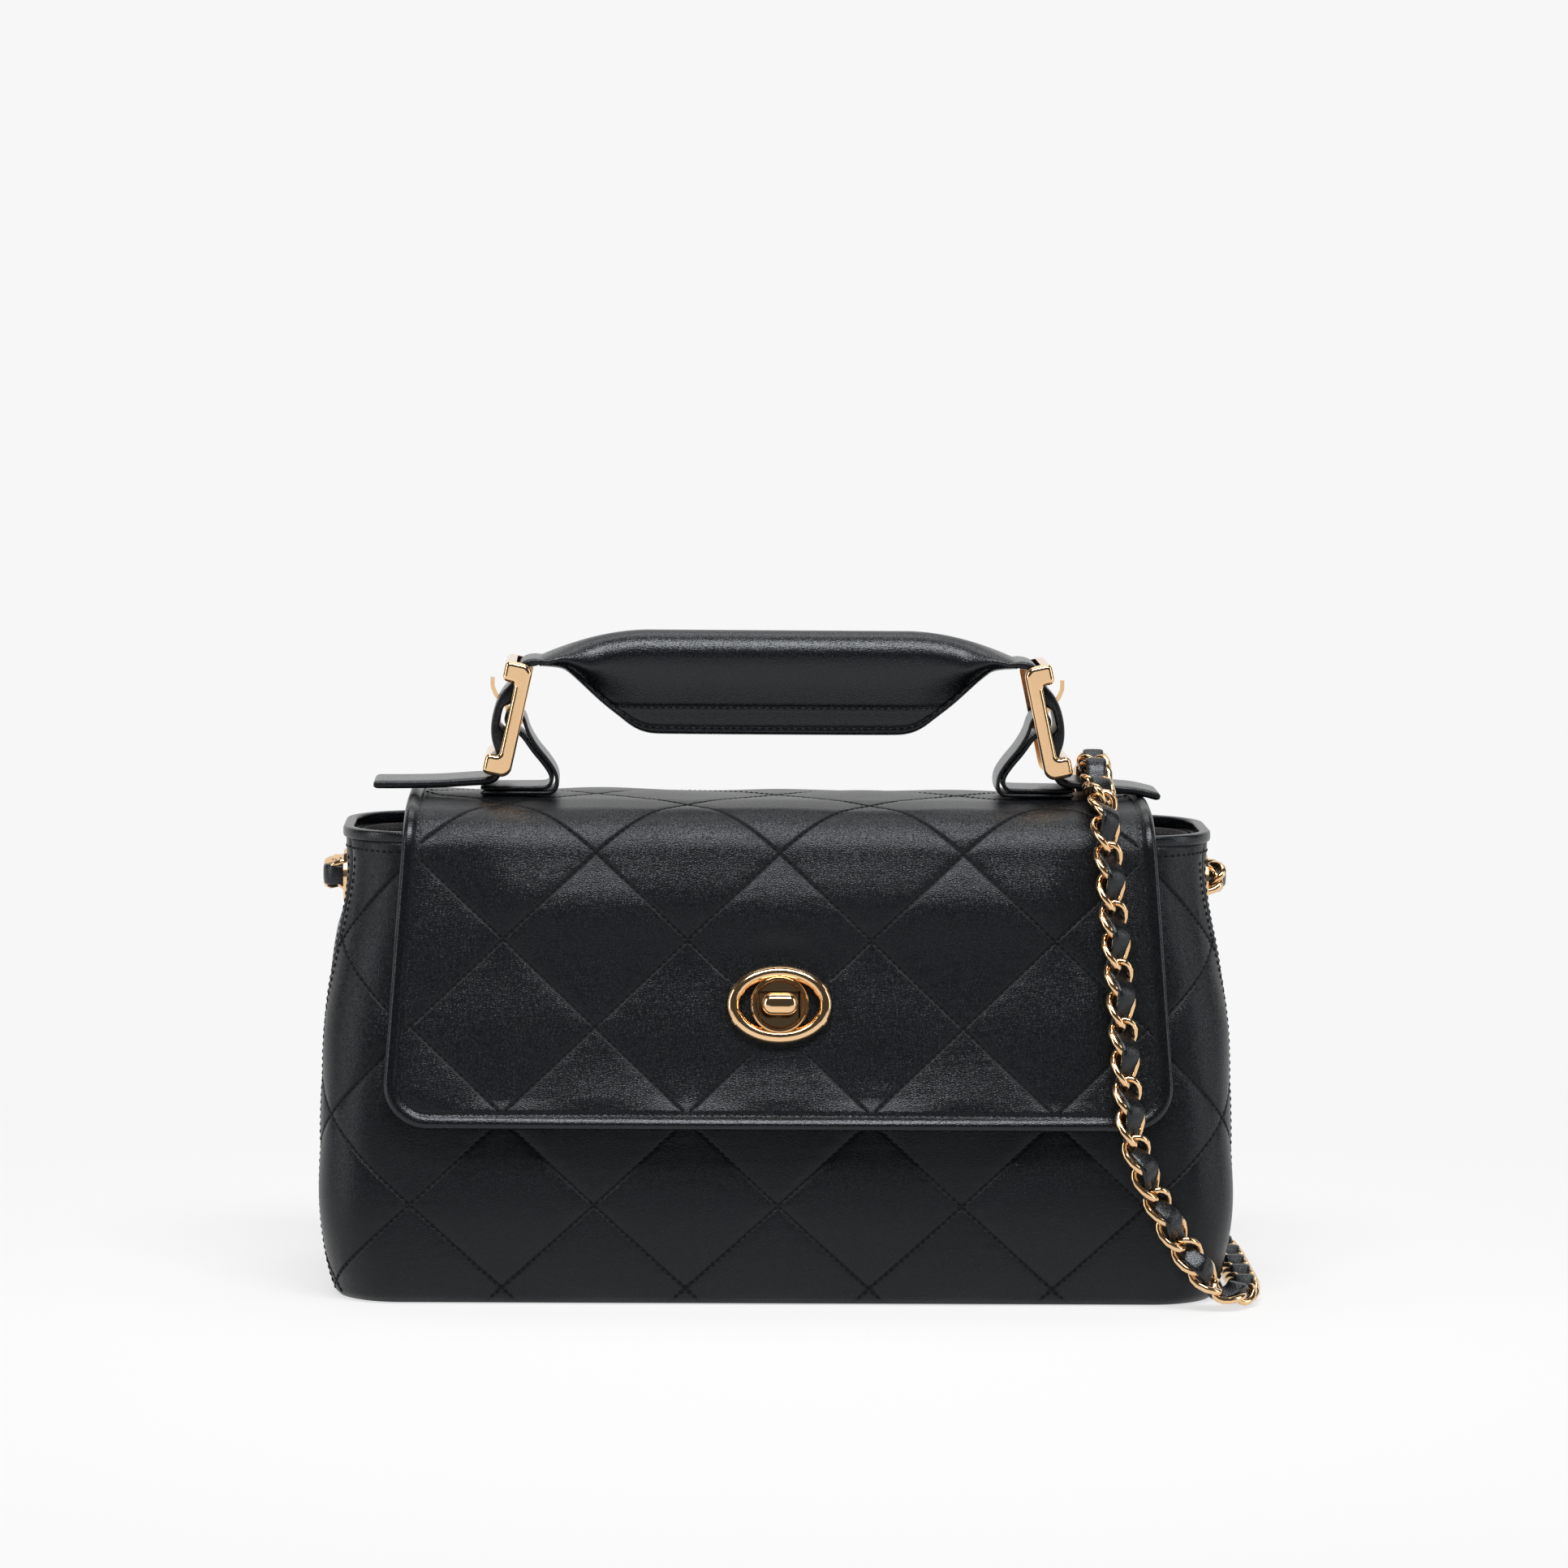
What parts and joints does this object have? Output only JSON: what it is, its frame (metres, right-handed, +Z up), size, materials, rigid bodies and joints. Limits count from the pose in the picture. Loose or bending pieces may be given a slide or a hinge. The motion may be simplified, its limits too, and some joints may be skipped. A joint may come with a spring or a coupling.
{
  "type": "chain shoulder bag",
  "caption": "Small quilted leather flap bag with a turn lock, a folded top handle on buckles and a shoulder chain woven with a leather lace.",
  "frame": {"origin": "middle of the base on the floor", "axes": "+Z up, -Y to the front with the flap and the lock, +X to the right as seen from the front"},
  "size_m": [0.226, 0.108, 0.1585],
  "materials": {
    "black_leather": "fine grained, soft sheen",
    "lining_cloth": "plain weave",
    "stiffener": "board",
    "gold_metal": "polished"
  },
  "bodies": {
    "bag_body": {"front_panel": "black_leather", "back_panel": "black_leather", "left_gusset": "black_leather", "right_gusset": "black_leather", "base_panel": "black_leather", "base_board": "stiffener", "lining": "lining_cloth", "rim_binding": "black_leather", "slip_pocket": "lining_cloth", "left_eyelet": "gold_metal", "right_eyelet": "gold_metal", "left_eyelet_washer": "gold_metal", "right_eyelet_washer": "gold_metal", "left_chain_toggle": "gold_metal", "right_chain_toggle": "gold_metal", "lock_base": "gold_metal", "lock_washer": "gold_metal", "flap_hinge_strip": "black_leather", "chain_links": "gold_metal", "chain_lace": "black_leather"},
    "flap": {"flap_outer": "black_leather", "flap_lining": "lining_cloth", "flap_binding": "black_leather", "lock_frame": "gold_metal", "lock_frame_back": "gold_metal", "left_chape": "black_leather", "right_chape": "black_leather", "left_tail": "black_leather", "right_tail": "black_leather"},
    "lock_knob": {"lock_knob": "gold_metal", "lock_spindle": "gold_metal"},
    "handle": {"handle_grip": "black_leather", "handle_filler": "lining_cloth", "left_strap": "black_leather", "right_strap": "black_leather", "left_buckle": "gold_metal", "right_buckle": "gold_metal", "left_buckle_bar": "gold_metal", "right_buckle_bar": "gold_metal"},
    "left_prong": {"left_prong": "gold_metal"},
    "right_prong": {"right_prong": "gold_metal"}
  },
  "joints": [
    {"name": "flap_open", "type": "hinge", "parent": "bag_body", "child": "flap", "pos_m": [0, 0.027, 0.11], "axis": [-1, 0, 0], "range_deg": [0, 110], "deforming": ["flap_hinge_strip", "chain_links", "chain_lace"]},
    {"name": "knob_turn", "type": "hinge", "parent": "bag_body", "child": "lock_knob", "pos_m": [0, -0.03544, 0.071], "axis": [0, -0.9829, 0.1843], "range_deg": [0, 90]},
    {"name": "handle_swing", "type": "hinge", "parent": "flap", "child": "handle", "pos_m": [0, 0, 0.1215], "axis": [1, 0, 0], "range_deg": [-12, 12], "deforming": ["left_chape", "right_chape", "left_tail", "right_tail"]},
    {"name": "left_prong_lift", "type": "hinge", "parent": "handle", "child": "left_prong", "pos_m": [-0.0634, 0, 0.1365], "axis": [0, -1, 0], "range_deg": [0, 25]},
    {"name": "right_prong_lift", "type": "hinge", "parent": "handle", "child": "right_prong", "pos_m": [0.0634, 0, 0.1365], "axis": [0, 1, 0], "range_deg": [0, 25]}
  ]
}
